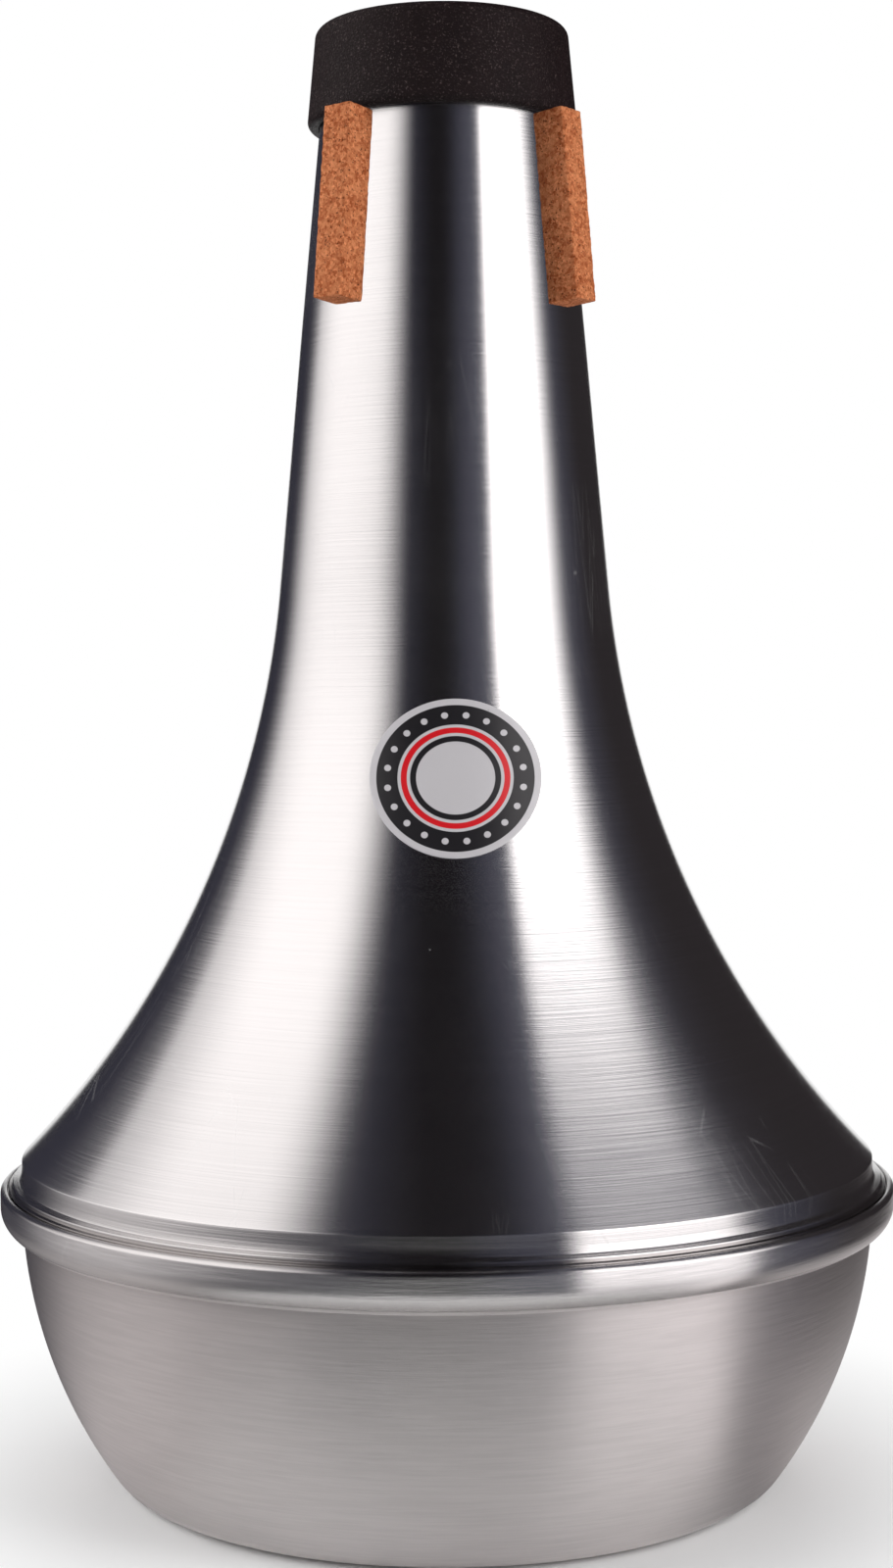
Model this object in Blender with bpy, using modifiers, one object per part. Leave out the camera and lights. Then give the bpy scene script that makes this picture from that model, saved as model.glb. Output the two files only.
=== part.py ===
"""Euphonium straight mute, modelled as the pieces that it comes apart into.

A spun aluminium cone with a long neck drops into a spun aluminium bowl, whose rolled rim closes
over the cone's edge. A rubber collar caps the open end of the neck, four cork strips under it
hold the mute in the bell's throat, and a thin oval label is stuck on the cone.
The mute stands on its bowl: the origin is the centre of the base, +Z runs up the neck, and the
front with the label faces -Y. Lengths are in metres.
"""
import math

import bpy
from mathutils import Matrix, Vector

MM = 0.001
SEGMENTS = 56

# Fits between pieces
CLEARANCE = 0.30 * MM
LIP_CLEARANCE = 0.35 * MM

# Spun sheet
CONE_SHEET = 1.0 * MM
BOWL_SHEET = 1.2 * MM

# Bowl: a wall on one large arc, with a tighter corner down to a flat base
BOWL_RADIUS = 103.0 * MM
BOWL_WIDEST_LEVEL = 69.4 * MM
BOWL_WALL_ARC = 114.6 * MM
BOWL_CORNER_ARC = 8.6 * MM

# Rolled rim at the bowl's mouth
RIM_OVERHANG = 5.0 * MM
RIM_LEVEL = 67.35 * MM
RIM_ROLL = 5.8 * MM
RIM_SIDE = 4.25 * MM
RIM_EDGE_ARC = 1.0 * MM
RIM_LIP = 0.45 * MM
RIM_LIP_SHEET = 0.7 * MM
SEAM_WRAP = math.radians(50.0)

# Foot of the cone: a ledge inside the rim, a raised bead, and a step up to the shoulder
LEDGE_WIDTH = 0.9 * MM
LEDGE_RISE = 0.5 * MM
BEAD_RISE = 1.1 * MM
BEAD_WIDTH = 2.25 * MM
BEAD_FILLET = 1.4 * MM
STEP_HEIGHT = 4.8 * MM
SHOULDER_ARC = 0.5 * MM

# Cone and neck
FLARE_HEIGHT = 136.2 * MM
NECK_BASE_RADIUS = 40.1 * MM
NECK_LENGTH = 131.1 * MM
NECK_TOP_RADIUS = 27.6 * MM

# Rubber collar
COLLAR_WALL = 2.75 * MM
COLLAR_LENGTH = 23.5 * MM
COLLAR_CAP = 2.5 * MM
COLLAR_TOP_ARC = 2.0 * MM
COLLAR_FOOT_ARC = 1.6 * MM

# Cork strips
CORK_WIDTH = 8.0 * MM
CORK_THICKNESS = 8.0 * MM
CORK_LENGTH = 44.5 * MM
CORK_EDGE = 0.4 * MM
CORK_DROP = 0.3 * MM
CORK_AZIMUTHS = {"cork_strip_1": -40.0, "cork_strip_2": 53.0, "cork_strip_3": 140.0, "cork_strip_4": -134.0}

# Oval label
LABEL_WIDTH = 39.0 * MM
LABEL_HEIGHT = 35.5 * MM
LABEL_THICKNESS = 0.25 * MM
LABEL_RISE = 92.0 * MM
LABEL_AZIMUTH = 3.0

# Places that follow from the sizes above
RIM_RADIUS = BOWL_RADIUS + RIM_OVERHANG
RIM_TOP = RIM_LEVEL + RIM_SIDE
ROLL_CENTRE = Vector((RIM_RADIUS - RIM_ROLL, RIM_LEVEL))
LIP_RADIUS = RIM_RADIUS - BOWL_SHEET - RIM_LIP
LIP_UNDERSIDE = RIM_TOP - RIM_LIP_SHEET
LEDGE_RADIUS = LIP_RADIUS - LIP_CLEARANCE
LEDGE_LEVEL = RIM_TOP + LEDGE_RISE
BEAD_RADIUS = LEDGE_RADIUS - LEDGE_WIDTH
BEAD_LEVEL = LEDGE_LEVEL + BEAD_RISE
SHOULDER = Vector((BEAD_RADIUS - BEAD_WIDTH, BEAD_LEVEL + STEP_HEIGHT))
NECK_BASE = Vector((NECK_BASE_RADIUS, SHOULDER.y + FLARE_HEIGHT))
NECK_TOP = Vector((NECK_TOP_RADIUS, NECK_BASE.y + NECK_LENGTH))
TAPER = math.atan2(NECK_BASE.x - NECK_TOP.x, NECK_LENGTH)
BORE_RADIUS = NECK_TOP_RADIUS - CONE_SHEET / math.cos(TAPER)
COLLAR_TOP = NECK_TOP.y + CLEARANCE + COLLAR_CAP
COLLAR_FOOT = COLLAR_TOP - COLLAR_LENGTH


def clear_scene():
    for old in list(bpy.data.objects):
        bpy.data.objects.remove(old, do_unlink=True)


def collection(name):
    group = bpy.data.collections.new(name)
    bpy.context.scene.collection.children.link(group)
    return group


def material(name, colour, roughness, metallic):
    finish = bpy.data.materials.new(name)
    finish.use_nodes = True
    shader = finish.node_tree.nodes["Principled BSDF"]
    shader.inputs["Base Color"].default_value = (*colour, 1.0)
    shader.inputs["Roughness"].default_value = roughness
    shader.inputs["Metallic"].default_value = metallic
    finish.diffuse_color = (*colour, 1.0)
    return finish


def arc(centre, radius, start, end, steps):
    """Points on an arc in the profile plane, from one angle to another, both ends included."""
    angles = [start + (end - start) * i / steps for i in range(steps + 1)]
    return [Vector((centre[0] + radius * math.cos(a), centre[1] + radius * math.sin(a))) for a in angles]


def fillet(before, corner, after, radius, steps):
    """The arc of a radius that rounds a corner between two straight runs."""
    inward = (before - corner).normalized()
    onward = (after - corner).normalized()
    half = 0.5 * math.acos(max(-1.0, min(1.0, inward.dot(onward))))
    run = radius / math.tan(half)
    centre = corner + (inward + onward).normalized() * radius / math.sin(half)
    first = corner + inward * run - centre
    last = corner + onward * run - centre
    start = math.atan2(first.y, first.x)
    sweep = math.atan2(first.x * last.y - first.y * last.x, first.dot(last))
    return arc(centre, radius, start, start + sweep, steps)


def from_profile(name, profile, closed, group):
    """A turned solid: the profile in the XZ plane with a Screw modifier round Z."""
    mesh = bpy.data.meshes.new(name)
    edges = [(i, i + 1) for i in range(len(profile) - 1)]
    if closed:
        edges.append((len(profile) - 1, 0))
    mesh.from_pydata([(p[0], 0.0, p[1]) for p in profile], edges, [])
    turned = bpy.data.objects.new(name, mesh)
    group.objects.link(turned)
    screw = turned.modifiers.new("Turn", "SCREW")
    screw.axis = "Z"
    screw.steps = SEGMENTS
    screw.render_steps = SEGMENTS
    screw.use_merge_vertices = True
    screw.merge_threshold = 0.00001
    screw.use_smooth_shade = True
    return turned


def as_mesh(piece, finish=None):
    """The piece with its modifiers worked into its mesh, smooth but for its real edges."""
    graph = bpy.context.evaluated_depsgraph_get()
    mesh = bpy.data.meshes.new_from_object(piece.evaluated_get(graph))
    piece.modifiers.clear()
    piece.data = mesh
    mesh.name = piece.name
    mesh.shade_smooth()
    mesh.set_sharp_from_angle(angle=math.radians(35.0))
    if finish:
        mesh.materials.clear()
        mesh.materials.append(finish)
    return piece


def as_cutter(cutter):
    cutter.hide_render = True
    cutter.display_type = "WIRE"
    return cutter


def cut(piece, cutter, operation):
    step = piece.modifiers.new(operation.title(), "BOOLEAN")
    step.operation = operation
    step.solver = "EXACT"
    step.object = cutter


def flare_arc():
    """Centre, radius and end angles of the arc that leaves the neck's taper for the shoulder."""
    chord = SHOULDER - NECK_BASE
    slant = math.atan2(chord.x, -chord.y)
    sweep = 2.0 * (slant - TAPER)
    radius = chord.length / (2.0 * math.sin(0.5 * sweep))
    centre = NECK_BASE + radius * Vector((math.cos(TAPER), math.sin(TAPER)))
    return centre, radius, TAPER, TAPER + sweep


def skin_point(level, offset):
    """A point at an offset outside the cone's outer face, square to it, for a height on the neck or flare."""
    centre, radius, _, _ = flare_arc()
    if level > NECK_BASE.y:
        lean = TAPER
        radial = NECK_BASE.x - (level - NECK_BASE.y) * math.tan(TAPER)
    else:
        lean = math.asin((centre.y - level) / radius)
        radial = centre.x - radius * math.cos(lean)
    return Vector((radial + offset * math.cos(lean), level + offset * math.sin(lean)))


def cone_profile():
    """The cone's sheet: down the outside to the edge in the rolled rim, and up the inside."""
    centre, radius, lean_top, lean_foot = flare_arc()
    skirt_outer = RIM_ROLL - BOWL_SHEET - CLEARANCE
    skirt_inner = skirt_outer - CONE_SHEET
    skirt_top = LIP_UNDERSIDE - CLEARANCE
    flare = arc(centre, radius, math.pi + lean_top, math.pi + lean_foot, 12)
    step_foot = Vector((SHOULDER.x, BEAD_LEVEL + 0.35 * BEAD_RISE))
    bead_edge = Vector((BEAD_RADIUS, BEAD_LEVEL))
    outside = [NECK_TOP] + flare[:-1]
    outside += fillet(flare[-2], SHOULDER, step_foot, SHOULDER_ARC, 2)
    outside += fillet(SHOULDER, step_foot, bead_edge, BEAD_FILLET, 3)
    outside += [bead_edge, Vector((BEAD_RADIUS, LEDGE_LEVEL)), Vector((LEDGE_RADIUS, LEDGE_LEVEL))]
    outside.append(Vector((LEDGE_RADIUS, skirt_top)))
    outside.append(Vector((ROLL_CENTRE.x + skirt_outer, skirt_top)))
    outside += arc(ROLL_CENTRE, skirt_outer, 0.0, -SEAM_WRAP, 3)
    inside = arc(ROLL_CENTRE, skirt_inner, -SEAM_WRAP, 0.0, 3)
    underside = skirt_top - CONE_SHEET
    step_inside = SHOULDER.x - CONE_SHEET
    inside.append(Vector((ROLL_CENTRE.x + skirt_inner, underside)))
    inside.append(Vector((step_inside, underside)))
    inner_radius = radius + CONE_SHEET
    lean_inside = math.acos((centre.x - step_inside) / inner_radius)
    inside += arc(centre, inner_radius, math.pi + lean_inside, math.pi + lean_top, 9)
    inside.append(Vector((BORE_RADIUS, NECK_TOP.y)))
    return outside + inside


def bowl_arcs(inset):
    """Centres and radii of the bowl's wall and corner arcs, for a face set inside the outer one."""
    wall_centre = Vector((BOWL_RADIUS - BOWL_WALL_ARC, BOWL_WIDEST_LEVEL))
    wall = BOWL_WALL_ARC - inset
    corner = BOWL_CORNER_ARC - inset
    drop = BOWL_WIDEST_LEVEL - BOWL_CORNER_ARC
    reach = math.sqrt((BOWL_WALL_ARC - BOWL_CORNER_ARC) ** 2 - drop ** 2)
    corner_centre = Vector((wall_centre.x + reach, BOWL_CORNER_ARC))
    meet = -math.atan2(drop, reach)
    return wall_centre, wall, corner_centre, corner, meet


def crease(inset):
    """Angles on the wall arc and on the rim's roll at which the two faces cross."""
    wall_centre, wall, _, _, _ = bowl_arcs(inset)
    roll = RIM_ROLL - inset
    between = ROLL_CENTRE - wall_centre
    apart = between.length
    along = (wall ** 2 - roll ** 2 + apart ** 2) / (2.0 * apart)
    aside = math.sqrt(wall ** 2 - along ** 2)
    axis = between / apart
    point = wall_centre + axis * along + Vector((axis.y, -axis.x)) * aside
    on_wall = point - wall_centre
    on_roll = point - ROLL_CENTRE
    return math.atan2(on_wall.y, on_wall.x), math.atan2(on_roll.y, on_roll.x)


def bowl_face(inset, wall_steps, corner_steps, roll_steps):
    """One face of the bowl's sheet, from the rim's straight side down to the base."""
    wall_centre, wall, corner_centre, corner, meet = bowl_arcs(inset)
    wall_crease, roll_crease = crease(inset)
    face = arc(ROLL_CENTRE, RIM_ROLL - inset, 0.0, roll_crease, roll_steps)
    face += arc(wall_centre, wall, wall_crease, meet, wall_steps)[1:]
    face += arc(corner_centre, corner, meet, -0.5 * math.pi, corner_steps)[1:]
    return face


def bowl_profile():
    """The bowl's sheet: from the base's centre up the inside, over the lip and down the outside."""
    inner = RIM_RADIUS - BOWL_SHEET
    inside = [Vector((0.0, BOWL_SHEET))] + bowl_face(BOWL_SHEET, 7, 4, 4)[::-1]
    lip_edge = 0.5 * RIM_LIP_SHEET
    lip = [Vector((inner, LIP_UNDERSIDE)), Vector((LIP_RADIUS, LIP_UNDERSIDE))]
    lip.append(Vector((LIP_RADIUS, RIM_TOP - 0.5 * lip_edge)))
    lip.append(Vector((LIP_RADIUS + 0.5 * lip_edge, RIM_TOP)))
    edge_centre = Vector((RIM_RADIUS - RIM_EDGE_ARC, RIM_TOP - RIM_EDGE_ARC))
    edge = arc(edge_centre, RIM_EDGE_ARC, 0.5 * math.pi, 0.0, 4)
    outside = bowl_face(0.0, 9, 5, 6) + [Vector((0.0, 0.0))]
    return inside + lip + edge + outside


def collar_profile():
    """The collar: a sleeve round the neck's end, with a lip over the sheet's end down to its bore."""
    reach = COLLAR_WALL / math.cos(TAPER)
    gap = CLEARANCE / math.cos(TAPER)
    neck_at_foot = NECK_TOP.x + (NECK_TOP.y - COLLAR_FOOT) * math.tan(TAPER)
    neck_at_top = NECK_TOP.x - (COLLAR_TOP - NECK_TOP.y) * math.tan(TAPER)
    seat = NECK_TOP.y + CLEARANCE
    neck_at_seat = NECK_TOP.x - CLEARANCE * math.tan(TAPER)
    top_outer = Vector((neck_at_top + gap + reach, COLLAR_TOP))
    foot_outer = Vector((neck_at_foot + gap + reach, COLLAR_FOOT))
    top_inner = Vector((BORE_RADIUS, COLLAR_TOP))
    foot_inner = Vector((neck_at_foot + gap, COLLAR_FOOT))
    profile = [top_inner]
    profile += fillet(top_inner, top_outer, foot_outer, COLLAR_TOP_ARC, 5)
    profile += fillet(top_outer, foot_outer, foot_inner, COLLAR_FOOT_ARC, 4)
    profile += [foot_inner, Vector((neck_at_seat + gap, seat)), Vector((BORE_RADIUS, seat))]
    return profile


def neck_cutter(group):
    """The neck's outer face with its clearance, as a solid that hollows the corks' backs."""
    top = skin_point(NECK_TOP.y, CLEARANCE)
    foot = skin_point(NECK_BASE.y + CLEARANCE, CLEARANCE)
    profile = [Vector((0.0, top.y)), top, foot, Vector((0.0, foot.y))]
    return as_cutter(as_mesh(from_profile("neck_cutter", profile, False, group)))


def cork_strip(name, azimuth, cutter, group, finish):
    """A cork block along the neck's taper, hollowed at the back and with its edges eased."""
    bpy.ops.mesh.primitive_cube_add(size=1.0)
    strip = bpy.context.active_object
    strip.name = name
    for owner in list(strip.users_collection):
        owner.objects.unlink(strip)
    group.objects.link(strip)
    embedded = 0.5 * CORK_WIDTH
    depth = CORK_THICKNESS + embedded
    strip.data.transform(Matrix.Diagonal((CORK_WIDTH, depth, CORK_LENGTH, 1.0)))
    strip.data.transform(Matrix.Translation((0.0, embedded - 0.5 * depth, -0.5 * CORK_LENGTH)))
    top = skin_point(COLLAR_FOOT - CLEARANCE - CORK_DROP, 0.0)
    strip.data.transform(Matrix.Rotation(-TAPER, 4, "X"))
    strip.data.transform(Matrix.Translation((0.0, -top.x, top.y)))
    strip.rotation_euler = (0.0, 0.0, math.radians(azimuth))
    ease = strip.modifiers.new("Eased edges", "BEVEL")
    ease.width = CORK_EDGE
    ease.segments = 1
    ease.limit_method = "ANGLE"
    cut(strip, cutter, "DIFFERENCE")
    return as_mesh(strip, finish)


def label_outline(group, level):
    """An upright oval prism through the front of the cone, which trims the label."""
    bpy.ops.mesh.primitive_cylinder_add(vertices=48, radius=0.5, depth=1.0, end_fill_type="NGON")
    prism = bpy.context.active_object
    prism.name = "label_outline"
    for owner in list(prism.users_collection):
        owner.objects.unlink(prism)
    group.objects.link(prism)
    reach = SHOULDER.x
    prism.data.transform(Matrix.Rotation(0.5 * math.pi, 4, "X"))
    prism.data.transform(Matrix.Diagonal((LABEL_WIDTH, reach, LABEL_HEIGHT, 1.0)))
    prism.data.transform(Matrix.Translation((0.0, -0.5 * reach, level)))
    prism.rotation_euler = (0.0, 0.0, math.radians(LABEL_AZIMUTH))
    return as_cutter(prism)


def label(group, cutters, finish):
    """A sheet turned at its clearance off the flare, thickened and trimmed to an oval."""
    level = SHOULDER.y + LABEL_RISE
    margin = 0.6 * LABEL_HEIGHT
    rows = 12
    levels = [level + margin - 2.0 * margin * i / rows for i in range(rows + 1)]
    sheet = from_profile("label", [skin_point(z, CLEARANCE) for z in levels], False, group)
    thicken = sheet.modifiers.new("Thickness", "SOLIDIFY")
    thicken.thickness = LABEL_THICKNESS
    thicken.offset = 1.0
    cut(sheet, label_outline(cutters, level), "INTERSECT")
    return as_mesh(sheet, finish)


def build():
    clear_scene()
    mute = collection("euphonium_straight_mute")
    cutters = collection("cutters")
    bright = material("spun_aluminium_cone", (0.80, 0.80, 0.81), 0.24, 1.0)
    satin = material("spun_aluminium_bowl", (0.70, 0.70, 0.70), 0.38, 1.0)
    rubber = material("black_rubber", (0.020, 0.017, 0.016), 0.62, 0.0)
    cork = material("agglomerated_cork", (0.50, 0.22, 0.09), 0.85, 0.0)
    vinyl = material("printed_vinyl", (0.03, 0.03, 0.03), 0.35, 0.0)
    as_mesh(from_profile("cone_shell", cone_profile(), True, mute), bright)
    as_mesh(from_profile("bowl_shell", bowl_profile(), False, mute), satin)
    as_mesh(from_profile("throat_collar", collar_profile(), True, mute), rubber)
    neck = neck_cutter(cutters)
    for name, azimuth in CORK_AZIMUTHS.items():
        cork_strip(name, azimuth, neck, mute, cork)
    label(mute, cutters, vinyl)


build()
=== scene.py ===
"""Looks of a euphonium straight mute, laid out as an add-on that builds its pieces and its studio.

Every length is in metres. The mute stands on z = 0 and is turned about the Z axis, and its front
faces -Y. A turned piece is an outline in the plane of radius and height, carried round that axis.
"""
import itertools
import math

import bpy
import numpy as np
from bpy.props import FloatProperty, FloatVectorProperty, IntProperty, PointerProperty
from bpy.types import Operator, Panel, PropertyGroup
from mathutils import Matrix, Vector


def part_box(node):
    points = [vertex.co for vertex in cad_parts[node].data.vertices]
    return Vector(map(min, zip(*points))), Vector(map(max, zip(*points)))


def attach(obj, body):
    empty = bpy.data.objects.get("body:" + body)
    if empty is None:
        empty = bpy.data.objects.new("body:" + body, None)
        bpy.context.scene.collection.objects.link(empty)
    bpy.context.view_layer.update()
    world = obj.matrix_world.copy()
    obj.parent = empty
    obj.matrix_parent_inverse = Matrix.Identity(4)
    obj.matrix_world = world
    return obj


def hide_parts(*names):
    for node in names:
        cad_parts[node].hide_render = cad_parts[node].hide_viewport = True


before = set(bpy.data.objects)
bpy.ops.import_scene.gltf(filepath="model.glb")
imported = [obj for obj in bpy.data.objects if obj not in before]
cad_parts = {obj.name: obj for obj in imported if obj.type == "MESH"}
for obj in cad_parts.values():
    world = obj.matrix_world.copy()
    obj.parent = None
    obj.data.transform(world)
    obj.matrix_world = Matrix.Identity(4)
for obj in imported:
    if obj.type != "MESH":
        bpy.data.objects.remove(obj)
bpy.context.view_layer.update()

bl_info = {
    "name": "Euphonium straight mute",
    "version": (1, 0, 0),
    "blender": (4, 5, 0),
    "location": "View3D > Sidebar > Mute",
    "description": "Builds a spun aluminium straight mute and a small studio for it",
    "category": "Add Mesh",
}

BODY = "root"
MM = 0.001

RIM_RADIUS, _, RIM_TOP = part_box("bowl_shell")[1]
NECK_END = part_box("cone_shell")[1].z
COLLAR_LOW, COLLAR_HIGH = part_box("throat_collar")
LABEL_LOW, LABEL_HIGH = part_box("label")
CORK_NODES = ("cork_strip_1", "cork_strip_2", "cork_strip_3", "cork_strip_4")

SHELL_SEGMENTS, COLLAR_SEGMENTS = 288, 224
# Distances between points on small roundings, and on the sheets' hidden faces.
FINE, COARSE = 0.09 * MM, 5.0 * MM
SHARP_ANGLE = math.radians(40.0)
LATTICE = 64

WHITE = (1.0, 1.0, 1.0, 1.0)
FLOOR_DROP = 0.2 * MM
# Distances from the middle of the floor between which it turns into the white room.
SHADOW_FADE = (0.07, 0.17)
LAMP_AIM = (0.0, 0.0, 0.17)

# The studio cards' grid, and the range of e that it covers, in degrees.
CARD_ROWS, CARD_COLUMNS = 96, 64
CARD_LEANS = (-60.0, 87.0)
# Where mirrored directions start: on the cone, and for those that go down, on the rim or bowl.
CARD_SOURCE = (0.0, 0.0, 0.15)
BOWL_LEANS = (-48.0, -26.0, -12.0, -6.0)
BOWL_RADII = (0.075, 0.092, 0.100, 0.105)
BOWL_LEVELS = (0.012, 0.035, 0.060, 0.070)
# The cards are clear near this place at the mute's foot.
CARD_HOLE = (0.0, -0.12, 0.0)
CARD_HOLE_FADE = (0.08, 0.16)

FAR_LEFT, FAR_RIGHT = ((0.0, -80.0, 1.0),), ((0.0, 80.0, 1.0),)
LEFT_BOX_END = ((-4.0, -34.0, 12.0), (7.0, -18.3, 7.0), (20.0, -18.7, 7.0), (32.0, -21.5, 6.5))
RIGHT_BOX_START = ((-4.0, 15.5, 1.0), (8.0, 16.9, 1.7), (20.0, 16.2, 1.0), (34.0, 16.7, 1.0))
ROSE, COOL_WHITE, WARM_WHITE = (1.0, 0.86, 1.0), (1.0, 0.96, 0.965), (1.0, 0.955, 0.95)
# Each card: name, left edge, right edge, brightness, colour, nearer, fade and low.
STUDIO_CARDS = (
    ("dark_room", FAR_LEFT, FAR_RIGHT, 0.0085, ROSE, 0.0, (85.0, 87.0)),
    ("dim_wall", ((0.0, 40.0, 6.0),), FAR_RIGHT, 0.026, (1.0, 0.86, 0.93), 0.03, (85.0, 87.0)),
    ("halo_left", ((0.0, -78.0, 5.0),), ((0.0, -10.0, 7.0),), 0.045, (0.74, 0.72, 1.0), 0.06, (75.0, 87.0)),
    ("halo_right", ((8.0, 5.0, 6.0), (22.0, 8.0, 6.0), (32.0, 12.0, 5.0)),
     ((8.0, 53.0, 9.0), (25.0, 42.0, 8.0)), 0.085, (0.74, 0.74, 1.0), 0.06, (75.0, 87.0)),
    ("floor_front", ((0.0, -68.0, 14.0),), FAR_RIGHT, 0.75, (1.0, 0.95, 0.95), 0.09, (-26.0, -12.0)),
    ("softbox_left_edge", ((8.0, -63.0, 8.0), (20.0, -57.5, 3.0), (32.0, -57.0, 1.2)), LEFT_BOX_END,
     0.60, (1.0, 0.955, 0.97), 0.12, (20.0, 65.0), (-3.0, 5.0, 0.28)),
    ("softbox_left", ((8.0, -57.0, 9.0), (20.0, -49.5, 9.0), (32.0, -47.0, 9.0)), LEFT_BOX_END,
     1.25, WARM_WHITE, 0.15, (20.0, 65.0), (-3.0, 5.0, 0.28)),
    ("softbox_right_edge", RIGHT_BOX_START,
     ((-4.0, 39.0, 2.0), (8.0, 42.0, 8.0), (20.0, 37.0, 1.8), (28.0, 34.8, 0.6)),
     1.1, COOL_WHITE, 0.12, (18.5, 27.8), (-6.0, 4.0, 0.10)),
    ("softbox_right", RIGHT_BOX_START,
     ((-4.0, 39.0, 2.0), (8.0, 39.5, 7.0), (20.0, 34.0, 6.0), (32.0, 29.5, 7.5)),
     2.2, COOL_WHITE, 0.15, (18.5, 27.8), (-6.0, 4.0, 0.36)),
    ("floor_left", ((0.0, -44.0, 8.0),), ((0.0, -17.0, 10.0),), 1.0, WARM_WHITE, 0.18, (-24.0, -12.0)),
    ("floor_right", ((0.0, 14.5, 1.8),), ((0.0, 36.5, 3.0),), 2.7, COOL_WHITE, 0.18, (-24.0, -12.0)),
)


def length(name, description, millimetres):
    """A length that a user can change, with its default given in millimetres."""
    return FloatProperty(
        name=name, description=description, default=millimetres * MM, min=0.0, unit="LENGTH", precision=5
    )


def turn(name, description, degrees):
    """An angle that a user can change, with its default given in degrees."""
    return FloatProperty(
        name=name, description=description, default=math.radians(degrees), subtype="ANGLE", unit="ROTATION"
    )


def amount(name, description, default, most=1.0):
    """A plain number that a user can change."""
    return FloatProperty(name=name, description=description, default=default, min=0.0, max=most)


def colour(name, description, default):
    """A colour that a user can change."""
    return FloatVectorProperty(
        name=name, description=description, default=default, subtype="COLOR", size=3, min=0.0, max=1.0
    )


class MuteConeSizes(PropertyGroup):
    """Sizes of the spun cone, from the neck's end to the edge in the rim."""

    sheet: length("Sheet", "Thickness of the cone's metal", 1.0)
    neck_end_radius: length("Neck end radius", "Radius of the open end of the neck", 27.6)
    neck_foot_radius: length("Neck foot radius", "Radius where the neck turns into the flare", 40.1)
    neck_length: length("Neck length", "Height of the straight neck", 131.1)
    shoulder_inset: length("Shoulder inset", "From the rim's outside in to the shoulder", 5.15)
    shoulder_rise: length("Shoulder rise", "From the rim's top up to the shoulder", 6.4)
    shoulder_round: length("Shoulder rounding", "Radius of the shoulder's edge", 0.55)
    crease_rise: length("Crease height", "Height of the faint crease over the bead", 2.1)
    bead_inset: length("Bead inset", "From the rim's outside in to the bead's edge", 2.9)
    bead_rise: length("Bead rise", "From the rim's top up to the bead's edge", 1.55)
    bead_round: length("Bead rounding", "Radius of the bead's edge", 0.35)
    bead_hollow: length("Bead hollow", "Radius of the hollow between step and bead", 0.45)
    ledge_inset: length("Ledge inset", "From the rim's outside in to the ledge's edge", 1.95)
    ledge_rise: length("Ledge rise", "From the rim's top up to the ledge", 0.45)
    ledge_round: length("Ledge rounding", "Radius of the ledge's edge", 0.22)


class MuteBowlSizes(PropertyGroup):
    """Sizes of the spun bowl and its rolled rim."""

    sheet: length("Sheet", "Thickness of the bowl's metal", 1.2)
    wall_arc: length("Wall arc", "Radius of the long arc of the wall", 114.6)
    wall_inset: length("Wall inset", "From the rim's outside in to the wall at its widest", 5.0)
    widest_level: length("Widest level", "Height at which the wall would be widest", 69.4)
    corner_arc: length("Corner arc", "Radius of the arc down to the flat base", 8.6)
    rim_side: length("Rim side", "From the rim's top down to where it rolls under", 4.25)
    rim_roll: length("Rim roll", "Radius of the rolled underside of the rim", 5.8)
    rim_round: length("Rim rounding", "Radius of the rim's top outer edge", 1.15)
    lip_inset: length("Lip inset", "From the rim's outside in to the lip's inner edge", 1.62)
    lip_sheet: length("Lip sheet", "Thickness of the lip over the cone's edge", 0.7)
    lip_round: length("Lip rounding", "Radius of the lip's inner edge", 0.22)


class MuteCollarSizes(PropertyGroup):
    """Sizes of the rubber collar."""

    wall: length("Wall", "Thickness of the sleeve", 2.75)
    seat_gap: length("Seat gap", "Room between the sleeve and the neck", 0.25)
    top_round: length("Top rounding", "Radius of the top outer edge", 2.2)
    foot_round: length("Foot rounding", "Radius of the bottom outer edge", 1.7)
    bore_round: length("Bore rounding", "Radius of the edges of the bore", 0.6)


class MuteCorkSizes(PropertyGroup):
    """Sizes of the cork strips and of their grain."""

    width: length("Width", "Width of a strip", 8.0)
    thickness: length("Thickness", "How far a strip stands off the neck", 8.0)
    height: length("Height", "Length of a strip along the neck", 44.9)
    drop: length("Drop", "Gap under the collar", 0.45)
    glue_gap: length("Glue gap", "Room between a strip and the neck", 0.02)
    edge_round: length("Edge rounding", "Radius of the edges", 0.35)
    step: length("Step", "Distance between points of the surface", 0.26)
    granule: length("Granule", "Size of a granule of cork", 1.0)
    pit_depth: length("Pit depth", "Depth of the pits between granules", 0.16)
    chip_depth: length("Chip depth", "How far the edges are chipped", 0.15)


class MuteLabelSizes(PropertyGroup):
    """Sizes of the oval label and its print."""

    film: length("Film", "Thickness of the label", 0.16)
    glue_gap: length("Glue gap", "Height of the film's back over the metal", 0.03)
    border: length("Border", "Width of the silver border", 1.5)
    field: length("Field", "Width of the black band inside the border", 4.6)
    stripe: length("Stripe", "Width of the red stripe inside the black band", 1.3)
    gap: length("Gap", "Width of the silver line beside the stripe", 0.7)
    dot: length("Dot", "Radius of a dot in the black band", 0.75)
    dots: IntProperty(name="Dots", description="Number of dots in the black band", default=20, min=3)


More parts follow.
